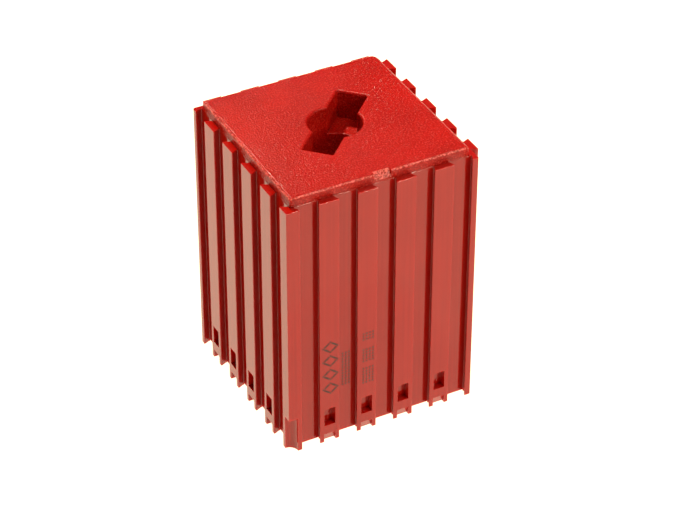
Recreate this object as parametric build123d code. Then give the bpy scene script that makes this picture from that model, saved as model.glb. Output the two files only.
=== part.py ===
from build123d import *
import os

# Modular tool-holder block: a ribbed square box with a keyed socket insert that drops into its top.
# Millimetres, +Z up.  Plan positions are counted from the corner edge where the two grooved faces
# meet; the origin is the centre of the block's overall outline, at the height of its feet.

# Outline of the box
BODY_HEIGHT = 70.0          # feet to the seam below the insert's cover plate
FACE_SPAN = 50.0            # grooved face to the plain wall opposite it
TONGUE_RISE = 1.75          # how far the tongues stand out of the plain walls
CORNER = -(FACE_SPAN + TONGUE_RISE) / 2
WALL_EDGE_ROUND = 0.5       # upright edges where a plain wall meets its neighbours
EDGE_ROUND = 0.18           # every other upright edge
TOP_EDGE_ROUND = 0.15       # round the upper face

# Sliding dovetails: grooves on -X and -Y, tongues on +X and +Y
GROOVE_COUNT = 5
GROOVE_PITCH = 10.0
FIRST_GROOVE = 5.9
GROOVE_MOUTH = 4.6
GROOVE_DEPTH = 1.8
DOVETAIL_SLOPE = 0.45       # sideways growth per unit of depth
TONGUE_TIP = 5.1

# Walls and hollow
WALL = 1.9                  # behind the groove floors
HOLLOW_CENTRE = 25.6
HOLLOW_SIDE = 2 * (HOLLOW_CENTRE - GROOVE_DEPTH - WALL)
FOOT_RISE = 0.45            # the ribs and tongues stand this far below the wall's lower edge

# Catches at the foot of each full rib
WINDOW_WIDTH = 3.0
WINDOW_HEIGHT = 5.0
WINDOW_SILL = 4.9
RAMP_WIDTH = 3.1
RAMP_HEIGHT = 2.35
RAMP_DEPTH = 1.0
CORNER_RELIEF_RADIUS = 2.3
CORNER_RELIEF_HEIGHT = 9.9

# Cover plate of the insert
PLATE_SIDE = 46.5
PLATE_THICKNESS = 2.5
PLATE_EDGE_ROUND = 0.85
PLATE_CORNER_ROUND = 0.5
PLATE_FAR_CORNER_ROUND = 1.8
PRY_WIDTH = 4.4
PRY_RUN = 1.2
PRY_DROP = 1.9

# Locating skirt under the plate
SKIRT_CLEARANCE = 0.2
SKIRT_THICKNESS = 1.6
SKIRT_DEPTH = 8.0
SKIRT_LEAD_IN = 0.5

# Socket for a 13 mm shank with a cross key
BORE_RADIUS = 6.55
RIM_ROUND = 0.6
SLOT_LENGTH = 26.6
SLOT_WIDTH = 7.55
SLOT_DEPTH = 7.5
SLOT_CORNER_ROUND = 0.3
SLOT_FLOOR_ROUND = 0.3
SLEEVE_WALL = 1.8
SLEEVE_LENGTH = 40.0        # below the seam
WEB_THICKNESS = 1.5
WEB_DEPTH = 12.0

PLATE_TOP = BODY_HEIGHT + PLATE_THICKNESS
SLOT_FLOOR = PLATE_TOP - SLOT_DEPTH
PLAIN_WALL = CORNER + FACE_SPAN
GROOVE_FLOOR = CORNER + GROOVE_DEPTH
CENTRE = CORNER + HOLLOW_CENTRE
DIAGONAL = 45


def groove_centres():
    """Positions of the grooves and of the tongues along either face."""
    return [CORNER + FIRST_GROOVE + GROOVE_PITCH * i for i in range(GROOVE_COUNT)]


def rib_centres():
    """Centres of the full ribs, one between each pair of neighbouring grooves."""
    return [centre + GROOVE_PITCH / 2 for centre in groove_centres()[:-1]]


def block(x0, x1, y0, y1, z0, z1):
    """Box between two opposite corners."""
    return Pos(x0, y0, z0) * Box(x1 - x0, y1 - y0, z1 - z0, align=Align.MIN)


def across_diagonal(shape):
    """The same feature on the neighbouring face: the block mirrors about its x = y diagonal."""
    return mirror(shape, about=Plane((0, 0, 0), x_dir=(0, 0, 1), z_dir=(1, -1, 0)))


def grooved_face():
    """Outline along the -Y face, from the near corner past the last groove."""
    half_mouth = GROOVE_MOUTH / 2
    half_floor = half_mouth + DOVETAIL_SLOPE * GROOVE_DEPTH
    points = [(CORNER, CORNER)]
    for centre in groove_centres():
        points += [
            (centre - half_mouth, CORNER),
            (centre - half_floor, GROOVE_FLOOR),
            (centre + half_floor, GROOVE_FLOOR),
            (centre + half_mouth, CORNER),
        ]
    return points


def tongued_face():
    """Outline along the +X face, from its -Y end past the last tongue."""
    half_tip = TONGUE_TIP / 2
    half_root = half_tip - DOVETAIL_SLOPE * TONGUE_RISE
    tip = PLAIN_WALL + TONGUE_RISE
    points = [(PLAIN_WALL, CORNER)]
    for centre in groove_centres():
        points += [
            (PLAIN_WALL, centre - half_root),
            (tip, centre - half_tip),
            (tip, centre + half_tip),
            (PLAIN_WALL, centre + half_root),
        ]
    return points


def ribbed_prism():
    """Solid prism on the box's whole outline, mirrored about the x = y diagonal."""
    grooved = grooved_face()
    tongued = tongued_face()
    points = grooved + tongued + [(PLAIN_WALL, PLAIN_WALL)]
    points += [(y, x) for x, y in reversed(tongued)]
    points += [(y, x) for x, y in reversed(grooved[1:])]
    outline = make_face(Polyline(*points, close=True))
    wall_corners = [(PLAIN_WALL, CORNER), (PLAIN_WALL, PLAIN_WALL), (CORNER, PLAIN_WALL)]

    def is_wall_corner(vertex):
        return any(abs(vertex.X - x) + abs(vertex.Y - y) < EDGE_ROUND / 2 for x, y in wall_corners)

    outline = fillet([vertex for vertex in outline.vertices() if not is_wall_corner(vertex)], EDGE_ROUND)
    outline = fillet([vertex for vertex in outline.vertices() if is_wall_corner(vertex)], WALL_EDGE_ROUND)
    prism = extrude(outline, amount=BODY_HEIGHT, dir=(0, 0, 1))
    return fillet(prism.faces().sort_by(Axis.Z)[-1].edges(), TOP_EDGE_ROUND)


def window(centre):
    """Blind rectangular catch pocket in a rib of the -Y face."""
    left = centre - WINDOW_WIDTH / 2
    return block(left, left + WINDOW_WIDTH, CORNER, GROOVE_FLOOR, WINDOW_SILL, WINDOW_SILL + WINDOW_HEIGHT)


def ramp(centre):
    """Lead-in ramp below the window, leaving a leg on each side of it."""
    left = centre - RAMP_WIDTH / 2
    profile = [(left, CORNER, RAMP_HEIGHT), (left, CORNER, 0), (left, CORNER + RAMP_DEPTH, 0)]
    return extrude(make_face(Polyline(*profile, close=True)), amount=RAMP_WIDTH, dir=(1, 0, 0))


def box_body():
    """Ribbed square box, open at both ends."""
    half_hollow = HOLLOW_SIDE / 2
    hollow = block(
        CENTRE - half_hollow, CENTRE + half_hollow, CENTRE - half_hollow, CENTRE + half_hollow, 0, BODY_HEIGHT
    )
    raised_edge = block(GROOVE_FLOOR, PLAIN_WALL, GROOVE_FLOOR, PLAIN_WALL, 0, FOOT_RISE)
    relief = Pos(CORNER, CORNER, 0) * Cylinder(
        CORNER_RELIEF_RADIUS, CORNER_RELIEF_HEIGHT, align=(Align.CENTER, Align.CENTER, Align.MIN)
    )
    cuts = [hollow, raised_edge, relief]
    for centre in rib_centres():
        cuts += [window(centre), across_diagonal(window(centre))]
        cuts += [ramp(centre), across_diagonal(ramp(centre))]
    return ribbed_prism() - cuts


def cover_plate():
    """Square plate with rounded upper edges; its far corner is rounder than the other three."""
    near = GROOVE_FLOOR
    far = near + PLATE_SIDE
    plate = block(near, far, near, far, BODY_HEIGHT, PLATE_TOP)
    uprights = plate.edges().filter_by(Axis.Z).sort_by(lambda edge: edge.center().X + edge.center().Y)
    plate = fillet(uprights[:-1], PLATE_CORNER_ROUND)
    far_upright = plate.edges().filter_by(Axis.Z).sort_by(lambda edge: edge.center().X + edge.center().Y)[-1]
    plate = fillet(far_upright, PLATE_FAR_CORNER_ROUND)
    return fillet(plate.faces().sort_by(Axis.Z)[-1].edges(), PLATE_EDGE_ROUND)


def pry_notch():
    """Sloping notch in the plate's -Y edge for lifting the insert with a blade."""
    left = CENTRE - PRY_WIDTH / 2
    profile = [
        (left, GROOVE_FLOOR - PRY_RUN, PLATE_TOP - PRY_DROP),
        (left, GROOVE_FLOOR, PLATE_TOP - PRY_DROP),
        (left, GROOVE_FLOOR + PRY_RUN, PLATE_TOP),
        (left, GROOVE_FLOOR + PRY_RUN, PLATE_TOP + PRY_DROP),
        (left, GROOVE_FLOOR - PRY_RUN, PLATE_TOP + PRY_DROP),
    ]
    return extrude(make_face(Polyline(*profile, close=True)), amount=PRY_WIDTH, dir=(1, 0, 0))


def upright_cylinder(radius, bottom, top):
    """Cylinder on the socket's axis."""
    return Pos(CENTRE, CENTRE, bottom) * Cylinder(
        radius, top - bottom, align=(Align.CENTER, Align.CENTER, Align.MIN)
    )


def diagonal_bar(length, width, bottom, top):
    """Bar centred on the socket's axis, lying along the block's x = y diagonal."""
    bar = Box(length, width, top - bottom, align=(Align.CENTER, Align.CENTER, Align.MIN))
    return Pos(CENTRE, CENTRE, bottom) * Rot(0, 0, DIAGONAL) * bar


def skirt():
    """Square locating rim that drops inside the box, with a lead-in at its lower edge."""
    outer = HOLLOW_SIDE / 2 - SKIRT_CLEARANCE
    inner = outer - SKIRT_THICKNESS
    bottom = BODY_HEIGHT - SKIRT_DEPTH
    rim = block(CENTRE - outer, CENTRE + outer, CENTRE - outer, CENTRE + outer, bottom, BODY_HEIGHT)
    rim = chamfer(rim.faces().sort_by(Axis.Z)[0].edges(), SKIRT_LEAD_IN)
    rim = fillet(rim.edges().filter_by(Axis.Z), SKIRT_LEAD_IN)
    return rim - block(CENTRE - inner, CENTRE + inner, CENTRE - inner, CENTRE + inner, bottom, BODY_HEIGHT)


def sleeve():
    """Tube round the bore, the pocket round the key slot, and four webs out to the skirt."""
    reach = HOLLOW_SIDE / 2 - SKIRT_CLEARANCE - SKIRT_THICKNESS / 2
    half_web = WEB_THICKNESS / 2
    low = BODY_HEIGHT - WEB_DEPTH
    tube = upright_cylinder(BORE_RADIUS + SLEEVE_WALL, BODY_HEIGHT - SLEEVE_LENGTH, BODY_HEIGHT)
    pocket = diagonal_bar(
        SLOT_LENGTH + 2 * SLEEVE_WALL, SLOT_WIDTH + 2 * SLEEVE_WALL, SLOT_FLOOR - SLEEVE_WALL, BODY_HEIGHT
    )
    web_x = block(CENTRE - reach, CENTRE + reach, CENTRE - half_web, CENTRE + half_web, low, BODY_HEIGHT)
    web_y = block(CENTRE - half_web, CENTRE + half_web, CENTRE - reach, CENTRE + reach, low, BODY_HEIGHT)
    return [tube, pocket, web_x, web_y]


def socket_void():
    """What the shank and its key pass through: the bore and the slot."""
    bore = upright_cylinder(BORE_RADIUS, BODY_HEIGHT - SLEEVE_LENGTH, PLATE_TOP)
    slot = diagonal_bar(SLOT_LENGTH, SLOT_WIDTH, SLOT_FLOOR, PLATE_TOP)
    return [bore, fillet(slot.edges().filter_by(Axis.Z), SLOT_CORNER_ROUND)]


def slot_floor_arcs(solid):
    """The two edges where the slot's floor breaks into the bore."""
    arcs = solid.edges().filter_by(GeomType.CIRCLE)
    at_floor = [arc for arc in arcs if abs(arc.center().Z - SLOT_FLOOR) < SLOT_FLOOR_ROUND / 2]
    return [arc for arc in at_floor if abs(arc.radius - BORE_RADIUS) < SLOT_FLOOR_ROUND / 2]


def socket_insert():
    """Cover plate, skirt, sleeve and webs moulded as one piece."""
    solid = cover_plate() + [skirt()] + sleeve()
    solid -= socket_void()
    rim = solid.faces().sort_by(Axis.Z)[-1].inner_wires()[0]
    solid = fillet(rim.edges(), RIM_ROUND)
    solid = fillet(slot_floor_arcs(solid), SLOT_FLOOR_ROUND)
    return solid - pry_notch()


os.makedirs("parts", exist_ok=True)
export_step(box_body(), "parts/box_body.step")
export_step(socket_insert(), "parts/socket_insert.step")
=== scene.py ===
import math

import bpy
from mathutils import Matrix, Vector


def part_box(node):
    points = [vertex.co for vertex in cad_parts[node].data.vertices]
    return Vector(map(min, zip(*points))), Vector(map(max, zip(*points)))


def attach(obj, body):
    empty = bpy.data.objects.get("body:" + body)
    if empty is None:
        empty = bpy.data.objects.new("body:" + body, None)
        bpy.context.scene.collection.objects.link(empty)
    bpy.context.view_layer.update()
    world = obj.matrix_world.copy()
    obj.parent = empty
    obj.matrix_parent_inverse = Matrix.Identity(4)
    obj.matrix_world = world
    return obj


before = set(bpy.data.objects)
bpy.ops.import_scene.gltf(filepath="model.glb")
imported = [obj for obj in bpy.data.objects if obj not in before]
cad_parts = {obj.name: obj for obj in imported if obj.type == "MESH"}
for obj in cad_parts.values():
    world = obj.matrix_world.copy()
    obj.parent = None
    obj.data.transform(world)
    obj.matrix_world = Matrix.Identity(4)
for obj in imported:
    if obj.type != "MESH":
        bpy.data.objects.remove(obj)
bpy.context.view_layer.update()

# The block's own landmarks, in metres, read from the frame
box_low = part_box("box_body")[0]
insert_low, insert_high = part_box("socket_insert")
FLOOR_HEIGHT = box_low.z
PLATE_TOP = insert_high.z

# Dovetail grooves, counted along the face from the near corner
FIRST_GROOVE = 0.0059
GROOVE_PITCH = 0.010
GROOVE_DEPTH = insert_low.y - box_low.y
FIRST_RIB = FIRST_GROOVE + GROOVE_PITCH / 2
SECOND_GROOVE = FIRST_GROOVE + GROOVE_PITCH
SECOND_RIB = FIRST_RIB + GROOVE_PITCH

# Ink marking low on the -Y face, as discs on square grids and along lozenge outlines
DOT_RADIUS = 0.00024
DOT_PITCH = 0.00085
DOT_SIDES = 8
INK_THICKNESS = 0.00001
LOZENGE_COUNT = 4
LOZENGE_DOTS = 20
LOZENGE_HALF_HEIGHT = 0.36  # as a share of its cell

# Each patch of ink is (shift from the middle of its rib or groove, foot, width, height)
LOZENGE_PATCH = (0.0002, 0.0140, 0.0038, 0.0164)
RIB_PATCHES = (
    (0.0003, 0.0140, 0.0032, 0.0050),
    (0.0003, 0.0205, 0.0032, 0.0041),
    (0.0003, 0.0270, 0.0032, 0.0027),
)
GROOVE_PATCH = (0.0002, 0.0140, 0.0026, 0.0104)

# The camera stands at the photograph's place relative to the block's near corner
CAMERA_FROM_CORNER = Vector((-0.20741, -0.42513, 0.40074))
LOOK = Vector((0.37346, 0.71959, -0.58542))
FIELD_OF_VIEW = math.radians(14.99)

# Each lamp is (name, direction from the block, distance, width, height, radiance)
LAMP_COLOUR = (1.0, 0.86, 0.68)
LAMPS = (
    ("high_back", (-0.03, 0.59, 0.806), 1.2, 0.09, 0.09, 740),
    ("overhead", (0.25, -0.30, 0.92), 1.0, 0.4, 0.4, 7.5),
    ("front", (0.37, -0.80, 0.47), 1.0, 0.16, 0.2, 40),
)
ROOM_STRENGTH = 0.12
FLOOR_SIZE = 6
FLOOR_COLOUR = (0.20, 0.20, 0.16, 1)
FLOOR_GLOW_COLOUR = (1.0, 0.97, 0.72, 1)
FLOOR_GLOW = 1.42

# Noise scales of the surface patterns, in features per metre, and their stretch upwards
PATCH_SCALE = 900
STREAK_SCALE = 1500
STREAK_STRETCH = (1, 1, 0.012)
SCUFF_SCALE = 600
FLOW_SCALE = 70
FLOW_STRETCH = (1, 1, 0.1)
BODY_DRIFT_SCALE = 90
PLATE_DRIFT_SCALE = 120
GRAIN_SCALE = 2400
INK_SCALE = 1800

# Heights of the surface relief, in metres
FLOW_HEIGHT = 0.00003
STREAK_HEIGHT = 0.000002
GRAIN_HEIGHT = 0.00014

# Edge wear with painted edge highlight: its reach from an edge, its strength, and how near a face
# shelters a corner from it
BODY_WEAR_AND_HIGHLIGHT_RADIUS = 0.0002
BODY_WEAR_AND_HIGHLIGHT = 0.7
PLATE_WEAR_AND_HIGHLIGHT_RADIUS = 0.0003
PLATE_WEAR_AND_HIGHLIGHT = 0.4
CORNER_SHELTER = 0.0008

# Distances from the plate's centre: all of the socket's rim is inside, all outer edges are outside
SOCKET_REACH = 0.017
OUTER_REACH = 0.019


def material(name):
    """New empty node material with its output and main shader."""
    made = bpy.data.materials.new(name)
    made.use_nodes = True
    nodes = made.node_tree.nodes
    nodes.clear()
    shader = nodes.new("ShaderNodeBsdfPrincipled")
    output = nodes.new("ShaderNodeOutputMaterial")
    made.node_tree.links.new(shader.outputs["BSDF"], output.inputs["Surface"])
    return made, shader


class Nodes:
    """Short calls for building one material's node tree."""

    def __init__(self, made):
        self.tree = made.node_tree

    def add(self, kind, inputs=None, **settings):
        node = self.tree.nodes.new(kind)
        for key, value in settings.items():
            setattr(node, key, value)
        for key, value in (inputs or {}).items():
            self.put(node.inputs[key], value)
        return node

    def put(self, socket, value):
        if isinstance(value, bpy.types.NodeSocket):
            self.tree.links.new(value, socket)
        else:
            socket.default_value = value

    def place(self, scale):
        """Object coordinates stretched by a scale along each axis."""
        coordinates = self.add("ShaderNodeTexCoord")
        mapping = self.add(
            "ShaderNodeMapping",
            {"Vector": coordinates.outputs["Object"], "Scale": scale},
        )
        return mapping.outputs["Vector"]

    def noise(self, scale, detail=2.0, roughness=0.5, stretch=(1, 1, 1)):
        node = self.add(
            "ShaderNodeTexNoise",
            {
                "Vector": self.place(stretch),
                "Scale": scale,
                "Detail": detail,
                "Roughness": roughness,
            },
        )
        return node.outputs["Fac"]

    def math(self, operation, first, second):
        return self.add("ShaderNodeMath", {0: first, 1: second}, operation=operation).outputs[0]

    def mix(self, factor, start, end):
        """Number between two others."""
        node = self.add("ShaderNodeMix", {"Factor": factor}, data_type="FLOAT")
        self.put(node.inputs[2], start)
        self.put(node.inputs[3], end)
        return node.outputs[0]

    def mix_colour(self, factor, start, end):
        node = self.add("ShaderNodeMix", {"Factor": factor}, data_type="RGBA")
        self.put(node.inputs[6], start)
        self.put(node.inputs[7], end)
        return node.outputs[2]

    def ramp(self, value, low, high, low_colour, high_colour):
        """Colour that goes from one tone to another as a value crosses a range."""
        node = self.add("ShaderNodeValToRGB", {"Fac": value})
        node.color_ramp.elements[0].position = low
        node.color_ramp.elements[0].color = low_colour
        node.color_ramp.elements[1].position = high
        node.color_ramp.elements[1].color = high_colour
        return node.outputs["Color"]

    def remap(self, value, from_low, from_high, to_low, to_high):
        node = self.add(
            "ShaderNodeMapRange",
            {
                "Value": value,
                "From Min": from_low,
                "From Max": from_high,
                "To Min": to_low,
                "To Max": to_high,
            },
        )
        return node.outputs["Result"]

    def bump(self, height, distance, normal=None):
        inputs = {"Height": height, "Distance": distance, "Strength": 1.0}
        if normal is not None:
            inputs["Normal"] = normal
        return self.add("ShaderNodeBump", inputs).outputs["Normal"]


# Linear colours of the moulding and its ink
RED = (0.42, 0.0065, 0.0030, 1)
DEEP_RED = (0.36, 0.0050, 0.0025, 1)
PLATE_RED = (0.50, 0.0062, 0.0026, 1)
PLATE_DEEP_RED = (0.30, 0.0040, 0.0018, 1)
# Painted glint: pale red laid on grain crests in place of the sparkle of light
PAINTED_GLINT_RED = (0.88, 0.20, 0.16, 1)
# Paler red of rubbed edges, partly a painted edge highlight
WORN_AND_HIGHLIGHT_RED = (0.62, 0.060, 0.040, 1)
INK = (0.022, 0.012, 0.011, 1)
THIN_INK = (0.06, 0.020, 0.016, 1)


def set_plastic_body(shader):
    """What both finishes of the moulded plastic share."""
    shader.inputs["IOR"].default_value = 1.47
    shader.inputs["Subsurface Weight"].default_value = 0.6
    shader.inputs["Subsurface Radius"].default_value = (1.0, 0.06, 0.03)
    shader.inputs["Subsurface Scale"].default_value = 0.002


def edge_wear_and_highlight(n, radius, most):
    """Broken-up mask of edge wear and painted edge highlight that is 0 on flat faces and inner
    corners and rises on outer edges.
    """
    rounded = n.add("ShaderNodeBevel", {"Radius": radius}).outputs["Normal"]
    flat = n.add("ShaderNodeNewGeometry").outputs["Normal"]
    turn = n.add("ShaderNodeVectorMath", {0: rounded, 1: flat}, operation="DOT_PRODUCT")
    edge = n.remap(turn.outputs["Value"], 0.99, 0.85, 0.0, 1.0)
    patches = n.remap(n.noise(PATCH_SCALE, detail=3), 0.35, 0.65, 0.1, most)
    shelter = n.add("ShaderNodeAmbientOcclusion", {"Distance": CORNER_SHELTER}, samples=8)
    exposed = n.remap(shelter.outputs["AO"], 0.75, 0.95, 0.0, 1.0)
    return n.math("MULTIPLY", n.math("MULTIPLY", edge, patches), exposed)


def painted_edge_highlight(n):
    """Mask of painted highlight that is 1 where the plate's rounded outer edges lean outwards, and
    on its pry notch.
    """
    normal = n.add("ShaderNodeNewGeometry").outputs["Normal"]
    lean = n.add("ShaderNodeSeparateXYZ", {"Vector": normal}).outputs["Z"]
    not_upright = n.remap(lean, 0.35, 0.5, 0.0, 1.0)
    not_flat = n.remap(lean, 0.88, 0.76, 0.0, 1.0)
    reach = n.add("ShaderNodeVectorMath", {0: n.place((1, 1, 0))}, operation="LENGTH")
    outside_socket = n.remap(reach.outputs["Value"], SOCKET_REACH, OUTER_REACH, 0.0, 1.0)
    return n.math("MULTIPLY", n.math("MULTIPLY", not_upright, not_flat), outside_socket)


def polished_plastic():
    """Glossy moulded sides: faint upright draw lines, slow drift, small scuffs, and rubbed edges
    that are partly painted highlight.
    """
    made, shader = material("polished_red_plastic_look")
    n = Nodes(made)
    set_plastic_body(shader)
    streaks = n.noise(STREAK_SCALE, detail=3, roughness=0.6, stretch=STREAK_STRETCH)
    drift = n.remap(n.noise(BODY_DRIFT_SCALE, detail=3), 0.3, 0.7, 0.4, 0.6)
    tone = n.remap(n.math("ADD", streaks, drift), 0.5, 1.5, 0.0, 1.0)
    red = n.ramp(tone, 0.3, 0.7, DEEP_RED, RED)
    # Outer edges turn paler: edge wear with painted edge highlight
    wear_and_highlight = edge_wear_and_highlight(n, BODY_WEAR_AND_HIGHLIGHT_RADIUS, BODY_WEAR_AND_HIGHLIGHT)
    n.put(shader.inputs["Base Color"], n.mix_colour(wear_and_highlight, red, WORN_AND_HIGHLIGHT_RED))
    scuffs = n.noise(SCUFF_SCALE, detail=4, roughness=0.7)
    polish = n.remap(streaks, 0.3, 0.7, 0.05, 0.11)
    marks = n.remap(scuffs, 0.6, 0.8, 0.0, 0.08)
    n.put(shader.inputs["Roughness"], n.math("ADD", polish, marks))
    waves = n.bump(n.noise(FLOW_SCALE, stretch=FLOW_STRETCH), FLOW_HEIGHT)
    n.put(shader.inputs["Normal"], n.bump(streaks, STREAK_HEIGHT, waves))
    return made


def textured_plastic():
    """Spark-eroded grain: dark pits, small bright crests that are painted glints, and outer edges
    made paler by painted highlight and edge wear.
    """
    made, shader = material("textured_red_plastic_look")
    n = Nodes(made)
    set_plastic_body(shader)
    shader.inputs["Specular IOR Level"].default_value = 0.24
    drift = n.remap(n.noise(PLATE_DRIFT_SCALE, detail=3), 0.3, 0.7, 0.44, 0.56)
    grain = n.noise(GRAIN_SCALE, roughness=0.6)
    tone = n.remap(n.math("ADD", drift, grain), 0.7, 1.3, 0.0, 1.0)
    red = n.ramp(tone, 0.3, 0.7, PLATE_DEEP_RED, PLATE_RED)
    # Painted glints: the highest grain crests are coloured pale
    painted_glints = n.remap(grain, 0.53, 0.72, 0.0, 0.18)
    # Painted highlight: grain crests on the plate's outer edges and pry notch turn pale
    edge_highlight_crests = n.remap(grain, 0.40, 0.62, 0.10, 0.9)
    grain_with_painted_glints = n.mix_colour(n.mix(painted_edge_highlight(n), painted_glints, edge_highlight_crests), red, PAINTED_GLINT_RED)
    # Outer edges turn paler: edge wear with painted edge highlight
    wear_and_highlight = edge_wear_and_highlight(n, PLATE_WEAR_AND_HIGHLIGHT_RADIUS, PLATE_WEAR_AND_HIGHLIGHT)
    n.put(shader.inputs["Base Color"], n.mix_colour(wear_and_highlight, grain_with_painted_glints, WORN_AND_HIGHLIGHT_RED))
    n.put(shader.inputs["Roughness"], n.remap(grain, 0.3, 0.7, 0.12, 0.24))
    n.put(shader.inputs["Normal"], n.bump(grain, GRAIN_HEIGHT))
    return made


def ink():
    """Thin matt printing ink, denser in some dots than in others."""
    made, shader = material("ink_look")
    n = Nodes(made)
    shader.inputs["IOR"].default_value = 1.45
    density = n.noise(INK_SCALE)
    n.put(shader.inputs["Base Color"], n.ramp(density, 0.35, 0.65, INK, THIN_INK))
    n.put(shader.inputs["Roughness"], n.remap(density, 0.35, 0.65, 0.45, 0.6))
    return made


def dot_grid(middle, patch):
    """Full square grid of dots over a patch, as points along the face and up it."""
    shift, foot, width, height = patch
    columns = round(width / DOT_PITCH)
    rows = round(height / DOT_PITCH)
    left = middle + shift - columns * DOT_PITCH / 2
    return [
        (left + (column + 0.5) * DOT_PITCH, foot + (row + 0.5) * DOT_PITCH)
        for column in range(columns)
        for row in range(rows)
    ]


def dot_lozenges(middle, patch):
    """Upright row of separate lozenge outlines made of dots."""
    shift, foot, width, height = patch
    cell = height / LOZENGE_COUNT
    points = []
    for index in range(LOZENGE_COUNT):
        for dot in range(LOZENGE_DOTS):
            angle = 2 * math.pi * dot / LOZENGE_DOTS
            reach = abs(math.cos(angle)) + abs(math.sin(angle))
            across = math.cos(angle) / reach * width / 2
            along = math.sin(angle) / reach * cell * LOZENGE_HALF_HEIGHT
            points.append((middle + shift + across, foot + cell * (index + 0.5) + along))
    return points


def add_dot(vertices, faces, x, y, z):
    """Closed eight-sided disc that lies half sunk in the face at y."""
    start = len(vertices)
    for depth in (-INK_THICKNESS, INK_THICKNESS):
        for side in range(DOT_SIDES):
            angle = 2 * math.pi * side / DOT_SIDES
            across = DOT_RADIUS * math.cos(angle)
            along = DOT_RADIUS * math.sin(angle)
            vertices.append((x + across, y + depth, z + along))
    back = start + DOT_SIDES
    faces.append(range(start, back))
    faces.append(range(back + DOT_SIDES - 1, back - 1, -1))
    for side in range(DOT_SIDES):
        following = (side + 1) % DOT_SIDES
        faces.append((start + following, start + side, back + side, back + following))


def ink_marking():
    """Generic dot pattern on the first two ribs of the -Y face and the groove between them."""
    on_ribs = dot_lozenges(FIRST_RIB, LOZENGE_PATCH)
    for patch in RIB_PATCHES:
        on_ribs += dot_grid(SECOND_RIB, patch)
    in_groove = dot_grid(SECOND_GROOVE, GROOVE_PATCH)
    vertices = []
    faces = []
    for spots, face in ((on_ribs, box_low.y), (in_groove, box_low.y + GROOVE_DEPTH)):
        for x, z in spots:
            add_dot(vertices, faces, box_low.x + x, face, FLOOR_HEIGHT + z)
    mesh = bpy.data.meshes.new("ink_marking")
    mesh.from_pydata(vertices, [], faces)
    mesh.materials.append(ink())
    marking = bpy.data.objects.new("ink_marking", mesh)
    bpy.context.scene.collection.objects.link(marking)
    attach(marking, "box")


def give(node, made):
    """Puts a material in every slot of a CAD node."""
    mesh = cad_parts[node].data
    if not mesh.materials:
        mesh.materials.append(made)
    for index in range(len(mesh.materials)):
        mesh.materials[index] = made


def luminous_floor():
    """Warm white floor lit softly from below, as on a light table."""
    made, shader = material("floor_look")
    shader.inputs["Base Color"].default_value = FLOOR_COLOUR
    shader.inputs["Roughness"].default_value = 0.9
    shader.inputs["Emission Color"].default_value = FLOOR_GLOW_COLOUR
    shader.inputs["Emission Strength"].default_value = FLOOR_GLOW
    bpy.ops.mesh.primitive_plane_add(size=FLOOR_SIZE, location=(0, 0, FLOOR_HEIGHT))
    floor = bpy.context.object
    floor.name = "floor"
    floor.data.materials.append(made)


def lamp(name, direction, distance, width, height, radiance):
    """Rectangular area light that faces the block from a direction, with a given brightness."""
    aim = Vector((0, 0, PLATE_TOP))
    towards = Vector(direction).normalized()
    data = bpy.data.lights.new(name, "AREA")
    data.shape = "RECTANGLE"
    data.size = width
    data.size_y = height
    data.color = LAMP_COLOUR
    data.energy = radiance * math.pi * width * height
    made = bpy.data.objects.new(name, data)
    made.location = aim + towards * distance
    made.rotation_euler = (-towards).to_track_quat("-Z", "Y").to_euler()
    bpy.context.scene.collection.objects.link(made)


def studio():
    """Dim room, a small high light behind the block, and two soft ones above and in front."""
    world = bpy.data.worlds.new("room")
    bpy.context.scene.world = world
    world.use_nodes = True
    background = world.node_tree.nodes["Background"]
    background.inputs["Color"].default_value = (1, 1, 1, 1)
    background.inputs["Strength"].default_value = ROOM_STRENGTH
    for settings in LAMPS:
        lamp(*settings)


def camera():
    """Camera at the photograph's viewing angle."""
    data = bpy.data.cameras.new("camera")
    data.sensor_fit = "HORIZONTAL"
    data.angle = FIELD_OF_VIEW
    made = bpy.data.objects.new("camera", data)
    corner = Vector((box_low.x, box_low.y, FLOOR_HEIGHT))
    made.location = corner + CAMERA_FROM_CORNER
    made.rotation_euler = LOOK.to_track_quat("-Z", "Y").to_euler()
    bpy.context.scene.collection.objects.link(made)
    bpy.context.scene.camera = made


camera()
luminous_floor()
studio()
give("box_body", polished_plastic())
give("socket_insert", textured_plastic())
ink_marking()

bpy.context.scene.view_settings.view_transform = "Standard"
